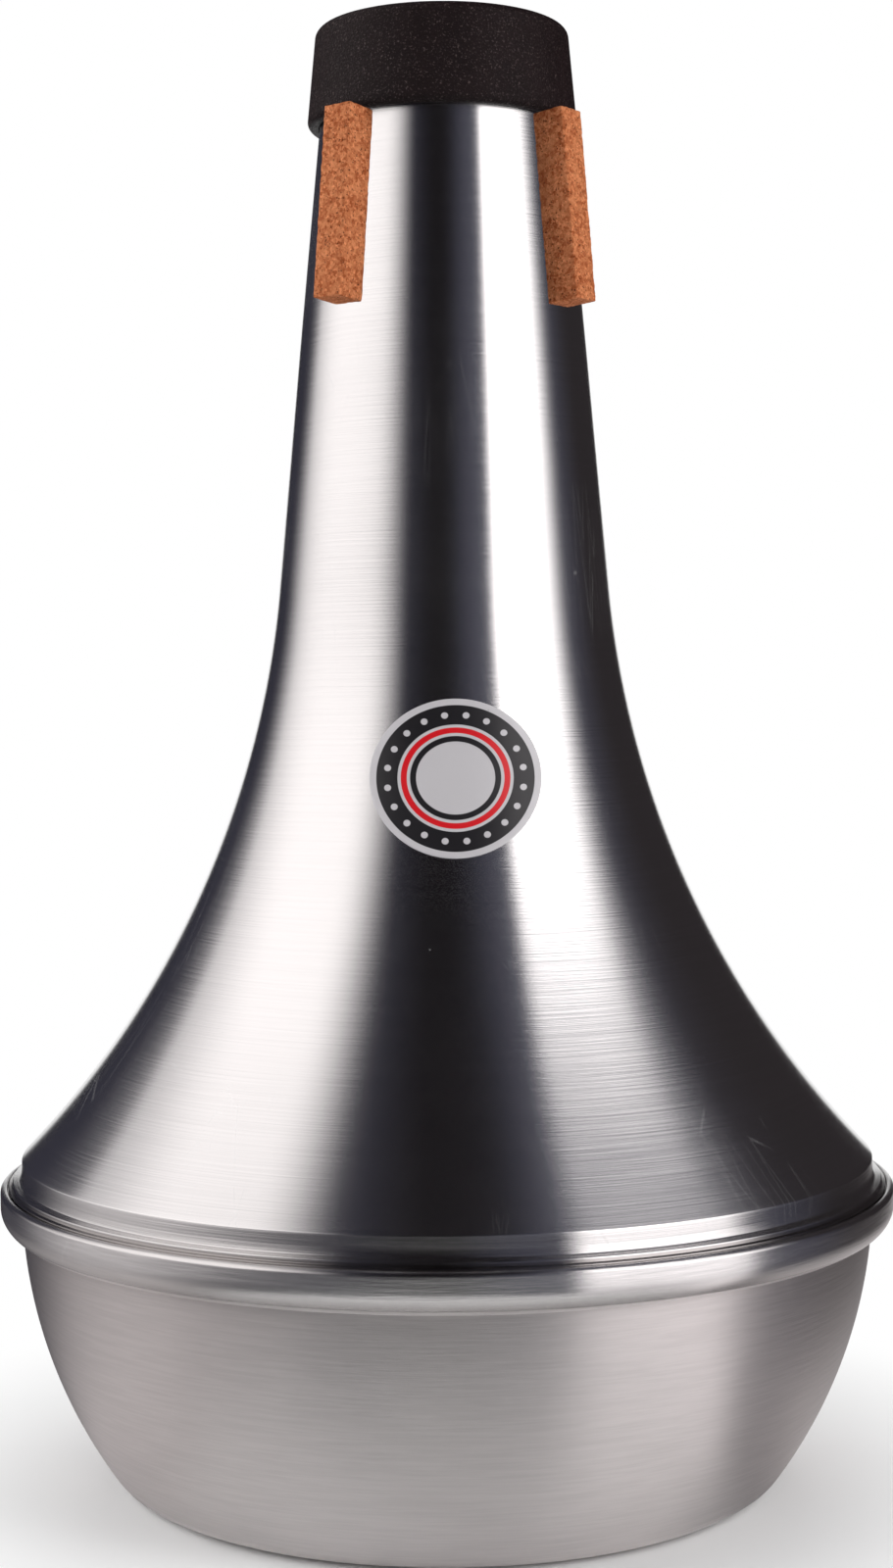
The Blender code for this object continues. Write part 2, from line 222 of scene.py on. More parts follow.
class MuteFinishColours(PropertyGroup):
    """Colours of the metal, cork, rubber and label."""

    cone: colour("Cone", "Bright aluminium of the cone", (0.90, 0.895, 0.89))
    bowl: colour("Bowl", "Satin aluminium of the bowl", (0.64, 0.606, 0.60))
    rim: colour("Rim", "Polished aluminium of the rim", (0.80, 0.785, 0.78))
    # This colour is painted shade: the rim's aluminium darkens towards it down to the crease under the rim,
    # where shade falls.
    crease: colour("Crease", "Dulled aluminium in the crease under the rim", (0.38, 0.36, 0.355))
    # This colour is painted shade: a darker copy of the cone's aluminium for the upright wall's dimmer
    # reflection.
    wall: colour("Wall", "Aluminium of the cone's short upright wall", (0.72, 0.71, 0.705))
    # This colour is painted shade: aluminium darkened in colour in the groove beside the rim, below the bead,
    # where shade falls.
    groove_shade: colour("Groove", "Dulled aluminium in the groove beside the rim", (0.42, 0.40, 0.39))
    cork_light: colour("Light granules", "Palest cork", (0.56, 0.205, 0.088))
    cork_mid: colour("Cork", "Most of the cork", (0.27, 0.060, 0.017))
    cork_dark: colour("Dark granules", "Bark in the cork", (0.06, 0.015, 0.006))
    rubber: colour("Rubber", "Collar", (0.0062, 0.0030, 0.0032))
    # This colour is a painted highlight, put on the tops of the rubber's pebbles.
    rubber_glint: colour("Rubber specks", "Dust in the rubber", (0.085, 0.062, 0.060))
    silver: colour("Label silver", "Border and middle of the label", (0.52, 0.50, 0.52))
    black: colour("Label black", "Dark band of the label", (0.012, 0.011, 0.013))
    red: colour("Label red", "Stripes of the label", (0.60, 0.006, 0.012))


class MuteStageSettings(PropertyGroup):
    """Camera, floor, lamps and cards."""

    camera_distance: length("Camera distance", "From the mute's axis to the camera", 619.1)
    camera_height: length("Camera height", "Height of the camera", 190.7)
    camera_side: length("Camera side", "How far the camera stands to the right", 0.3)
    camera_tilt: turn("Camera tilt", "How far the camera looks down", 2.217)
    camera_roll: turn("Camera roll", "How far the camera leans", -0.27)
    lens: length("Lens", "Focal length for a picture 36 mm high", 58.3)
    floor_reach: length("Floor reach", "Half the width of the floor", 6000.0)
    floor_white: amount("Floor", "How pale the floor is", 0.93)
    world_light: amount("World light", "Strength of the light from all round", 0.13, 10.0)
    lamp_power: amount("Lamp power", "Power of each large lamp in watts", 24.5, 1000.0)
    card_reach: length("Card reach", "Distance of the studio's cards", 3000.0)


class MuteSettings(PropertyGroup):
    """Everything that a user may change."""

    cone: PointerProperty(type=MuteConeSizes)
    bowl: PointerProperty(type=MuteBowlSizes)
    collar: PointerProperty(type=MuteCollarSizes)
    cork: PointerProperty(type=MuteCorkSizes)
    label: PointerProperty(type=MuteLabelSizes)
    finish: PointerProperty(type=MuteFinishColours)
    stage: PointerProperty(type=MuteStageSettings)


def arc(centre, radius, start, end, spacing):
    """Points on a circle, centre + radius (cos a, sin a), evenly from one angle to another."""
    count = max(2, int(round(abs(end - start) * radius / spacing)))
    angles = np.linspace(start, end, count + 1)
    return np.column_stack([centre[0] + radius * np.cos(angles), centre[1] + radius * np.sin(angles)])


def rounded(corners, spacing):
    """A chain of straight runs whose corners are rounded.

    corners is a list of (radius, height, rounding). At each corner an arc of that rounding touches
    both runs: its centre lies on the bisector, rounding / sin(half) from the corner.
    """
    points = np.array([c[:2] for c in corners], float)
    pieces = [points[:1]]
    for before, corner, after, rounding in zip(points, points[1:], points[2:], [c[2] for c in corners[1:]]):
        if rounding == 0.0:
            pieces.append(corner[None])
            continue
        back = (before - corner) / np.linalg.norm(before - corner)
        ahead = (after - corner) / np.linalg.norm(after - corner)
        half = 0.5 * math.acos(np.clip(back @ ahead, -1.0, 1.0))
        middle = (back + ahead) / np.linalg.norm(back + ahead)
        centre = corner + middle * rounding / math.sin(half)
        touch = rounding / math.tan(half)
        first = corner + back * touch - centre
        last = corner + ahead * touch - centre
        start = math.atan2(first[1], first[0])
        sweep = math.atan2(first[0] * last[1] - first[1] * last[0], first @ last)
        pieces.append(arc(centre, rounding, start, start + sweep, spacing))
    pieces.append(points[-1:])
    return np.concatenate(pieces)


def filled(outline, spacing):
    """The same outline with points added so that no straight run is longer than the spacing."""
    runs = np.linalg.norm(np.diff(outline, axis=0), axis=1)
    outline = outline[np.append(True, runs > 1e-7)]
    runs = np.linalg.norm(np.diff(outline, axis=0), axis=1)
    counts = np.maximum(1, np.ceil(runs / spacing).astype(int))
    place = np.concatenate([[0.0], np.cumsum(runs)])
    wanted = np.concatenate([place[i] + runs[i] * np.arange(n) / n for i, n in enumerate(counts)])
    wanted = np.append(wanted, place[-1])
    return np.column_stack([np.interp(wanted, place, outline[:, 0]), np.interp(wanted, place, outline[:, 1])])


def add_object(name, data):
    """A new object in the scene."""
    made = bpy.data.objects.new(name, data)
    bpy.context.scene.collection.objects.link(made)
    return made


def mesh_object(name, points, faces, corner_uv, uv_name):
    """An object at the origin from arrays of points and four-cornered faces.

    A face whose last corner repeats its first is a triangle. Each corner has its own place in the UV
    map.
    """
    mesh = bpy.data.meshes.new(name)
    triangle = faces[:, 3] == faces[:, 0]
    keep = np.ones(faces.shape, bool)
    keep[triangle, 3] = False
    sizes = np.where(triangle, 3, 4)
    loops = faces[keep]
    mesh.vertices.add(len(points))
    mesh.vertices.foreach_set("co", points.astype(np.float32).ravel())
    mesh.loops.add(len(loops))
    mesh.loops.foreach_set("vertex_index", loops.astype(np.int32))
    mesh.polygons.add(len(faces))
    mesh.polygons.foreach_set("loop_start", np.concatenate([[0], np.cumsum(sizes)[:-1]]).astype(np.int32))
    mesh.update(calc_edges=True)
    layer = mesh.uv_layers.new(name=uv_name)
    layer.uv.foreach_set("vector", corner_uv[keep].astype(np.float32).ravel())
    mesh.validate()
    mesh.shade_smooth()
    mesh.set_sharp_from_angle(angle=SHARP_ANGLE)
    return add_object(name, mesh)


def skin(name, rings, uv, uv_name, poles=None):
    """A skin over rings of points, with one row of faces between each ring and the next.

    rings[k, i] is point i of ring k, and uv[k, i] is its place in the UV map, with one more column
    where the ring comes round to its start. Two poles close the ends with fans. Without poles the
    last ring joins the first, and uv has one more row.
    """
    levels, count = rings.shape[:2]
    rows = levels - 1 if poles is not None else levels
    k, i = np.meshgrid(np.arange(rows), np.arange(count), indexing="ij")
    k, i = k.ravel(), i.ravel()
    k_next, i_next = (k + 1) % levels, (i + 1) % count
    faces = np.stack([k * count + i, k_next * count + i, k_next * count + i_next, k * count + i_next], -1)
    corners = np.stack([uv[k, i], uv[k + 1, i], uv[k + 1, i + 1], uv[k, i + 1]], 1)
    points = rings.reshape(-1, 3)
    if poles is None:
        return mesh_object(name, points, faces, corners, uv_name)
    i = np.arange(count)
    for pole, ring, turned in ((0, 0, False), (1, levels - 1, True)):
        here, there = (i + 1, i) if turned else (i, i + 1)
        tip = np.full(count, len(points) + pole)
        fan = np.stack([ring * count + here % count, ring * count + there % count, tip], -1)
        middle = 0.5 * (uv[ring, here] + uv[ring, there])
        faces = np.vstack([faces, fan[:, [0, 1, 2, 0]]])
        fan_uv = np.stack([uv[ring, here], uv[ring, there], middle, uv[ring, here]], 1)
        corners = np.vstack([corners, fan_uv])
    return mesh_object(name, np.vstack([points, poles]), faces, corners, uv_name)


def lathe(name, outline, segments):
    """A surface of revolution.

    Point (k, i) is (r_k cos a_i, r_k sin a_i, z_k), where a_i goes evenly round from the back. An
    outline that starts on the axis ends there too and gets a pole at each end, and any other one
    closes on itself. The UV is (share of the turn, length run along the outline).
    """
    poles = outline[0, 0] < 1e-6
    ring = outline[1:-1] if poles else outline
    share = np.arange(segments + 1) / segments
    angle = 0.5 * math.pi + 2.0 * math.pi * share[:-1]
    x = ring[:, :1] * np.cos(angle)
    y = ring[:, :1] * np.sin(angle)
    z = np.broadcast_to(ring[:, 1:], x.shape)
    closed = ring if poles else np.vstack([ring, ring[:1]])
    run = np.append(0.0, np.cumsum(np.linalg.norm(np.diff(closed, axis=0), axis=1)))
    uv = np.stack(np.meshgrid(share, run), -1)
    ends = [[0.0, 0.0, outline[0, 1]], [0.0, 0.0, outline[-1, 1]]] if poles else None
    return skin(name, np.stack([x, y, z], -1), uv, "turned", ends)


def value_noise(points, cell, seed):
    """Smooth random values from -1 to 1.

    Random numbers sit on a cubic lattice of that cell, and each point blends its eight neighbours
    with the weight t t (3 - 2 t) in each direction.
    """
    lattice = np.random.default_rng(seed).uniform(-1.0, 1.0, (LATTICE,) * 3)
    place = points / cell
    low = np.floor(place).astype(int)
    blend = place - low
    blend = blend * blend * (3.0 - 2.0 * blend)
    total = np.zeros(len(points))
    for corner in itertools.product((0, 1), repeat=3):
        weight = np.prod(np.where(np.array(corner) == 1, blend, 1.0 - blend), axis=1)
        x, y, z = ((low + corner) % LATTICE).T
        total += weight * lattice[x, y, z]
    return total


def settings():
    """Everything that a user may change, as it is set in this scene."""
    return bpy.context.scene.mute


def neck_taper():
    """The angle by which the neck leans in as it goes up."""
    cone = settings().cone
    return math.atan2(cone.neck_foot_radius - cone.neck_end_radius, cone.neck_length)


def flare_arc():
    """The flare's arc: its centre, its radius and its lean at the neck and at the shoulder.

    It leaves the neck along the neck's taper and reaches the shoulder, so half its sweep is the
    angle between the taper and the straight line from one end to the other.
    """
    cone = settings().cone
    top = np.array([cone.neck_foot_radius, NECK_END - cone.neck_length])
    foot = np.array([RIM_RADIUS - cone.shoulder_inset, RIM_TOP + cone.shoulder_rise])
    chord = foot - top
    taper = neck_taper()
    half = math.atan2(chord[0], -chord[1]) - taper
    radius = np.linalg.norm(chord) / (2.0 * math.sin(half))
    centre = top + radius * np.array([math.cos(taper), math.sin(taper)])
    return centre, radius, taper, taper + 2.0 * half


def skin_radius(height):
    """Radius of the cone's outside at a height: a straight taper on the neck, a circle's arc below."""
    cone = settings().cone
    centre, radius, taper, _ = flare_arc()
    foot = NECK_END - cone.neck_length
    on_neck = cone.neck_foot_radius - (height - foot) * math.tan(taper)
    on_flare = centre[0] - np.sqrt(np.maximum(radius ** 2 - (centre[1] - height) ** 2, 0.0))
    return np.where(height > foot, on_neck, on_flare)


def cone_outline():
    """The cone's sheet in section: down the outside to its edge in the rim, and up the inside."""
    cone, bowl = settings().cone, settings().bowl
    centre, radius, lean_top, lean_foot = flare_arc()
    shoulder_radius, shoulder_level = RIM_RADIUS - cone.shoulder_inset, RIM_TOP + cone.shoulder_rise
    bead_radius, bead_level = RIM_RADIUS - cone.bead_inset, RIM_TOP + cone.bead_rise
    ledge_radius, ledge_level = RIM_RADIUS - cone.ledge_inset, RIM_TOP + cone.ledge_rise
    gap, nudge = 0.3 * MM, 0.12 * MM
    skirt_top = RIM_TOP - bowl.lip_sheet - gap
    roll_centre = (RIM_RADIUS - bowl.rim_roll, RIM_TOP - bowl.rim_side)
    skirt = bowl.rim_roll - bowl.sheet - gap
    skirt_edge = roll_centre[0] + skirt
    skirt_end = -math.radians(50.0)
    flare = arc(centre, radius, math.pi + lean_top, math.pi + lean_foot, 1.4 * MM)
    outside = [
        (cone.neck_end_radius, NECK_END, 0.0),
        *[(r, z, 0.0) for r, z in flare[:-1]],
        (shoulder_radius, shoulder_level, cone.shoulder_round),
        (shoulder_radius + nudge, bead_level + cone.crease_rise, 0.4 * MM),
        (shoulder_radius + 3.0 * nudge, bead_level + cone.bead_hollow * 0.55, cone.bead_hollow),
        (bead_radius, bead_level, cone.bead_round),
        (bead_radius + 0.5 * nudge, ledge_level, 0.15 * MM),
        (ledge_radius, ledge_level - nudge, cone.ledge_round),
        (ledge_radius, skirt_top, 0.0),
        (skirt_edge, skirt_top, 0.0),
    ]
    outer_skirt = arc(roll_centre, skirt, 0.0, skirt_end, 1.0 * MM)
    inner_skirt = arc(roll_centre, skirt - cone.sheet, skirt_end, 0.0, 1.0 * MM)
    inner_shoulder = shoulder_radius - cone.sheet
    inner_lean = math.acos((centre[0] - inner_shoulder) / (radius + cone.sheet))
    inner_flare = arc(centre, radius + cone.sheet, math.pi + inner_lean, math.pi + lean_top, COARSE)
    inside = [
        (*inner_skirt[-1], 0.0),
        (skirt_edge - cone.sheet, skirt_top - cone.sheet, 0.5 * MM),
        (inner_shoulder, skirt_top - cone.sheet, 0.5 * MM),
        *[(r, z, 0.0) for r, z in inner_flare],
        (cone.neck_end_radius - cone.sheet / math.cos(lean_top), NECK_END, 0.0),
    ]
    return np.concatenate([rounded(outside, FINE), outer_skirt, inner_skirt, rounded(inside, 0.3 * MM)])


def bowl_face(inset, spacing):
    """One face of the bowl's sheet, from the rim's side down to the flat base.

    Three arcs: the roll under the rim, the long wall, and the corner to the base. Roll and wall
    meet in a crease where the two circles cross, and wall and corner touch.
    """
    bowl = settings().bowl
    roll_centre = np.array([RIM_RADIUS - bowl.rim_roll, RIM_TOP - bowl.rim_side])
    roll = bowl.rim_roll - inset
    wall_centre = np.array([RIM_RADIUS - bowl.wall_inset - bowl.wall_arc, bowl.widest_level])
    wall = bowl.wall_arc - inset
    corner = bowl.corner_arc - inset
    drop = bowl.widest_level - bowl.corner_arc
    reach = math.sqrt((bowl.wall_arc - bowl.corner_arc) ** 2 - drop ** 2)
    corner_centre = np.array([wall_centre[0] + reach, bowl.corner_arc])
    meet = -math.atan2(drop, reach)
    between = roll_centre - wall_centre
    apart = np.linalg.norm(between)
    along = (wall ** 2 - roll ** 2 + apart ** 2) / (2.0 * apart)
    aside = math.sqrt(wall ** 2 - along ** 2)
    axis = between / apart
    crease = wall_centre + axis * along + np.array([axis[1], -axis[0]]) * aside
    on_wall = crease - wall_centre
    on_roll = crease - roll_centre
    roll_end = math.atan2(on_roll[1], on_roll[0])
    wall_start = math.atan2(on_wall[1], on_wall[0])
    return np.concatenate([
        arc(roll_centre, roll, 0.0, roll_end, 0.3 * spacing),
        arc(wall_centre, wall, wall_start, meet, spacing)[1:],
        arc(corner_centre, corner, meet, -0.5 * math.pi, 0.5 * spacing)[1:],
    ])


def bowl_outline():
    """The bowl's sheet in section: from the middle up the inside, over the lip and down the outside."""
    bowl = settings().bowl
    inner = RIM_RADIUS - bowl.sheet
    lip_radius = RIM_RADIUS - bowl.lip_inset
    lip_underside = RIM_TOP - bowl.lip_sheet
    inside = bowl_face(bowl.sheet, COARSE)[::-1]
    outside = bowl_face(0.0, 1.3 * MM)
    rim = rounded([
        (inner, RIM_TOP - bowl.rim_side, 0.0),
        (inner, lip_underside, 0.0),
        (lip_radius, lip_underside, 0.1 * MM),
        (lip_radius, RIM_TOP, bowl.lip_round),
        (RIM_RADIUS, RIM_TOP, bowl.rim_round),
        (RIM_RADIUS, RIM_TOP - bowl.rim_side, 0.0),
    ], FINE)
    return filled(np.concatenate([[[0.0, bowl.sheet]], inside, rim[1:-1], outside, [[0.0, 0.0]]]), 4.0 * MM)


def collar_outline():
    """The collar in section: a sleeve along the neck's taper, and a lip in over the neck's end."""
    cone, collar = settings().cone, settings().collar
    taper = neck_taper()
    gap = collar.seat_gap / math.cos(taper)
    wall = collar.wall / math.cos(taper)
    bore = cone.neck_end_radius - cone.sheet / math.cos(taper)
    seat = NECK_END + collar.seat_gap
    top, foot = COLLAR_HIGH.z, COLLAR_LOW.z

    def neck(level):
        return cone.neck_end_radius + (NECK_END - level) * math.tan(taper) + gap

    corners = [
        (bore, 0.5 * (top + seat), 0.0),
        (bore, top, collar.bore_round),
        (neck(top) + wall, top, collar.top_round),
        (neck(foot) + wall, foot, collar.foot_round),
        (neck(foot), foot, 0.3 * MM),
        (neck(seat), seat, 0.2 * MM),
        (bore, seat, 0.3 * MM),
        (bore, 0.5 * (top + seat), 0.0),
    ]
    return filled(rounded(corners, 0.2 * MM), 0.8 * MM)[:-1]


def block_rings():
    """A cork strip's rings, before they are set on the neck.

    Ring k is a rounded rectangle, one unit from its middle to each side, with an inset from the
    strip's sides and a level down the strip. The inset falls from half the width over each end, and
    round a quarter circle at the edge. Gives the insets, the levels and one ring's (across, out).
    """
    cork = settings().cork
    half = 0.5 * cork.width
    edge = cork.edge_round
    quarter = np.linspace(0.0, 0.5 * math.pi, 5)
    cap = np.linspace(half, edge, 15)[1:-1]
    body = np.linspace(edge, cork.height - edge, int(cork.height / cork.step))[1:-1]
    turn_in = edge * (1.0 - np.sin(quarter))
    turn_down = edge * (1.0 - np.cos(quarter))
    inset = np.concatenate([cap, turn_in, 0.0 * body, turn_in[::-1], cap[::-1]])
    turn_up = cork.height - turn_down[::-1]
    level = np.concatenate([0.0 * cap, turn_down, body, turn_up, 0.0 * cap + cork.height])
    side = np.linspace(-1.0, 1.0, int(cork.width / cork.step), endpoint=False)
    one = np.ones(len(side))
    sides = ((side, -one), (one, side), (-side, one), (-one, -side))
    square = np.concatenate([np.stack(pair, -1) for pair in sides])[::-1]
    core = np.clip(square, edge / half - 1.0, 1.0 - edge / half)
    corner = square - core
    corner /= np.linalg.norm(corner, axis=1, keepdims=True)
    return inset, level, core + corner * edge / half, corner


def cork_block(name, azimuth, seed):
    """A strip of cork that stands on the neck.

    A point at (across, out, down) lies down along the neck's slope, and its distance from the axis
    goes from the neck's own circle, sqrt(R R - across across), at the back to a flat front. Noise
    sinks pits between granules and chips the edges, each point moving along its face's own normal.
    """
    cork = settings().cork
    taper = neck_taper()
    half = 0.5 * cork.width
    inset, level, ring, facing = block_rings()
    share = (1.0 - inset / half)[:, None]
    across = half * share * ring[:, 0]
    out = 0.5 * cork.thickness * (1.0 + share * ring[:, 1])
    down = np.broadcast_to(level[:, None], across.shape)
    place = np.stack([across, out, down], -1).reshape(-1, 3) + seed
    granules, crumbs, chips = [
        value_noise(place, cork.granule * size, seed + 1).reshape(across.shape) for size in (0.55, 0.22, 1.1)
    ]
    near_end = np.minimum(down, cork.height - down)
    sideways = np.clip(near_end / cork.edge_round, 0.0, 1.0)
    endways = np.sqrt(1.0 - sideways ** 2)
    long_edge = np.clip(np.abs(ring).min(axis=1) * 5.0 - 4.0, 0.0, 1.0) * sideways
    end_edge = np.clip(1.0 - near_end / (2.0 * cork.edge_round), 0.0, 1.0) * share ** 4
    sink = cork.pit_depth * (1.6 * np.clip(granules + 0.35 * crumbs - 0.45, 0.0, 1.0) + 0.12 * crumbs)
    sink = sink + cork.chip_depth * np.clip(chips + 0.25, 0.0, 1.0) * np.maximum(long_edge, end_edge)
    across = across - facing[:, 0] * sink * sideways
    out = np.maximum(out - facing[:, 1] * sink * sideways, 0.0)
    down = down + np.where(down < half, 1.0, -1.0) * sink * endways
    height = COLLAR_LOW.z - cork.drop - down * math.cos(taper)
    neck = skin_radius(height) + cork.glue_gap / math.cos(taper)
    back = np.sqrt(neck ** 2 - across ** 2)
    reach = back + (neck + cork.thickness - back) * out / cork.thickness
    turned = math.radians(azimuth)
    x = reach * math.sin(turned) + across * math.cos(turned)
    y = across * math.sin(turned) - reach * math.cos(turned)
    rings = np.stack([x, y, height + out * math.sin(taper)], -1)
    around = np.arange(len(ring) + 1) * cork.step
    along = np.append(0.0, np.cumsum(np.hypot(np.diff(level), np.diff(inset))))
    uv = np.stack(np.meshgrid(around, along), -1)
    return skin(name, rings, uv, "strip", [rings[0].mean(axis=0), rings[-1].mean(axis=0)])


def oval_label(name):
    """The label: a film over an oval of the cone's skin.

    Point (k, i) is (a s_k cos t_i, b s_k sin t_i) across and up the oval, bent round the skin at its
    height. The rings go out over the face, round the edge and back in behind the film.
    """
    label = settings().label
    centre = 0.5 * (LABEL_LOW + LABEL_HIGH)
    half_width, _, half_height = 0.5 * (LABEL_HIGH - LABEL_LOW)
    segments, rings = 160, 40
    share = np.concatenate([np.linspace(0.02, 0.995, rings), [1.0, 1.0, 0.995], np.linspace(0.9, 0.02, 6)])
    lift = np.concatenate([np.ones(rings), [0.75, 0.1, 0.0], np.zeros(6)])
    angle = 2.0 * math.pi * np.arange(segments + 1) / segments
    across = half_width * share[:, None] * np.cos(angle)
    up = half_height * share[:, None] * np.sin(angle)

    def on_skin(across, up, lift):
        reach = skin_radius(centre.z + up) + label.glue_gap + label.film * lift
        x = centre.x + across
        return np.stack([x, -np.sqrt(reach ** 2 - x ** 2), centre.z + up], -1)

    points = on_skin(across, up, lift[:, None])[:, :-1]
    poles = on_skin(np.zeros(2), np.zeros(2), np.array([1.0, 0.0]))
    return skin(name, points, np.stack([across, up], -1), "print", poles)


class Value:
    """An output of a shader node. Arithmetic with it adds Math nodes to its tree."""

    def __init__(self, socket):
        self.socket = socket
        self.tree = socket.id_data

    def math(self, operation, *others):
        """A Math node fed with this value and the others."""
        return node(self.tree, "Math", enumerate((self, *others)), operation=operation)

    def __add__(self, other):
        return self.math("ADD", other)

    def __sub__(self, other):
        return self.math("SUBTRACT", other)

    def __rsub__(self, other):
        return node(self.tree, "Math", {0: other, 1: self}, operation="SUBTRACT")

    def __mul__(self, other):
        return self.math("MULTIPLY", other)

    def vector(self, operation, other):
        """A Vector Math node fed with this vector and another."""
        return node(self.tree, "VectorMath", {0: self, 1: other}, operation=operation)

    def split(self):
        """The three parts of a vector or a colour."""
        return node(self.tree, "SeparateXYZ", {0: self}, (0, 1, 2))

    def band(self, low, high, new_low=0.0, new_high=1.0):
        """This value brought smoothly from one range to another."""
        ranges = {0: self, 1: low, 2: high, 3: new_low, 4: new_high}
        return node(self.tree, "MapRange", ranges, interpolation_type="SMOOTHSTEP")

    def mix(self, first, second):
        """The colour that lies this share of the way from the first to the second."""
        return node(self.tree, "Mix", {0: self, 6: first, 7: second}, 2, data_type="RGBA")


def feed(made, inputs):
    """Sets each input of a node to a plain value, or links it from a Value."""
    for socket, value in dict(inputs).items():
        if isinstance(value, Value):
            made.id_data.links.new(value.socket, made.inputs[socket])
        else:
            made.inputs[socket].default_value = value


def node(tree, kind, inputs=(), output=0, **options):
    """A new shader node's output, or a list of outputs where output is a tuple."""
    made = tree.nodes.new("ShaderNode" + kind)
    for option, value in options.items():
        setattr(made, option, value)
    feed(made, inputs)
    if isinstance(output, tuple):
        return [Value(made.outputs[key]) for key in output]
    return Value(made.outputs[output])


def noise(place, scale, detail, roughness=0.5, output=0):
    """Soft noise at a place, as many waves to the metre as the scale says."""
    inputs = {"Vector": place, "Scale": scale, "Detail": detail, "Roughness": roughness}
    return node(place.tree, "TexNoise", inputs, output)


def cells(place, scale, output, **options):
    """Random cells round a place: the distance to a cell's middle or edge, or its own colour."""
    return node(place.tree, "TexVoronoi", {"Vector": place, "Scale": scale}, output, **options)


def bump(height, strength, distance):
    """The normal of a surface that has this height on it."""
    return node(height.tree, "Bump", {"Strength": strength, "Distance": distance, "Height": height})


def paint(name, gain=1.0):
    """A colour of the finish, made lighter by the gain."""
    return (*(min(1.0, gain * part) for part in getattr(settings().finish, name)), 1.0)


def group(name, inputs, outputs):
    """A new node group: its tree, its inputs as values and its output node.

    Inputs are given with their defaults, or None for a vector. All outputs are numbers.
    """
    tree = bpy.data.node_groups.new(name, "ShaderNodeTree")
    for socket, default in inputs.items():
        kind = "NodeSocketVector" if default is None else "NodeSocketFloat"
        made = tree.interface.new_socket(name=socket, in_out="INPUT", socket_type=kind)
        if default is not None:
            made.default_value = default
    for socket in outputs:
        tree.interface.new_socket(name=socket, in_out="OUTPUT", socket_type="NodeSocketFloat")
    given = tree.nodes.new("NodeGroupInput")
    return tree, [Value(given.outputs[socket]) for socket in inputs], tree.nodes.new("NodeGroupOutput")


def placed(name, inputs, output):
    """Outputs of a shared group that is placed in the tree of its position."""
    tree = inputs["Position"].tree
    return node(tree, "Group", inputs, output, node_tree=bpy.data.node_groups[name])


def turning_marks_group():
    """Fine rings left by spinning and polishing.

    Noise whose place is the run along the outline, times the rings per metre, and only a little of
    the place across, so that each ring keeps its tone for a few centimetres round the piece.
    """
    tree, (position, run, rings, across), result = group(
        "turning_marks", {"Position": None, "Run": 0.0, "Rings": 2200.0, "Arc": 18.0}, ("Height", "Tone")
    )
    x, y, _ = position.split()
    tones = []
    for ring_share, arc_share, detail in ((1.0, 1.0, 3.0), (0.35, 0.7, 2.0)):
        arc_scale = across * arc_share
        place = {0: x * arc_scale, 1: y * arc_scale, 2: run * (rings * ring_share)}
        tones.append(noise(node(tree, "CombineXYZ", place), 1.0, detail, 0.6))
    fine, coarse = tones
    feed(result, {"Height": fine * 0.85 + coarse * 0.15, "Tone": fine * 0.8 + coarse * 0.2})


def handling_group():
    """Marks of handling: faint smears, hairline scratches and specks of dust.

    The hairlines are the borders of long thin cells on the unrolled surface, turned three ways, and
    they only show inside the smears. The specks are the middles of a few small cells.
    """
    tree, (position, unrolled), result = group(
        "handling", {"Position": None, "Unrolled": None}, ("Smear", "Scratch", "Speck")
    )
    smear = noise(position, 26.0, 4.0, 0.55)
    long_cells = (170.0, 12.0, 1.0)
    lines = []
    for tilt, seed in ((0.35, 0.0), (-0.6, 3.7), (1.2, 7.1)):
        turned = node(tree, "Mapping", {
            "Vector": unrolled, "Location": (seed, seed, 0.0), "Rotation": (0.0, 0.0, tilt),
            "Scale": long_cells,
        })
        border = cells(turned, 1.0, "Distance", voronoi_dimensions="2D", feature="DISTANCE_TO_EDGE")
        lines.append(border.band(0.0, 0.010, 1.0, 0.0))
    scratch = lines[0].math("MAXIMUM", lines[1].math("MAXIMUM", lines[2])) * smear.band(0.50, 0.62)
    middle, tone = cells(position, 300.0, ("Distance", "Color"))
    speck = middle.band(0.03, 0.08, 1.0, 0.0) * tone.split()[0].math("GREATER_THAN", 0.94)
    feed(result, {"Smear": smear, "Scratch": scratch, "Speck": speck})


def stipple_group():
    """A fine pebbled surface, for rubber and for the face of cork. Glint is the pebbles' tops, where the
    rubber paints a highlight.
    """
    tree, (position, scale), result = group(
        "stipple", {"Position": None, "Scale": 2600.0}, ("Height", "Glint", "Cloud")
    )
    pebble = noise(position, scale, 2.0, 0.7)
    feed(result, {"Height": pebble, "Glint": pebble.band(0.57, 0.75), "Cloud": noise(position, 160.0, 2.0)})


def blank_material(name):
    """A new material, its tree, its Principled shader and the object's own coordinates."""
    made = bpy.data.materials.new(name)
    made.use_nodes = True
    tree = made.node_tree
    return made, tree, tree.nodes["Principled BSDF"], node(tree, "TexCoord", output="Object")


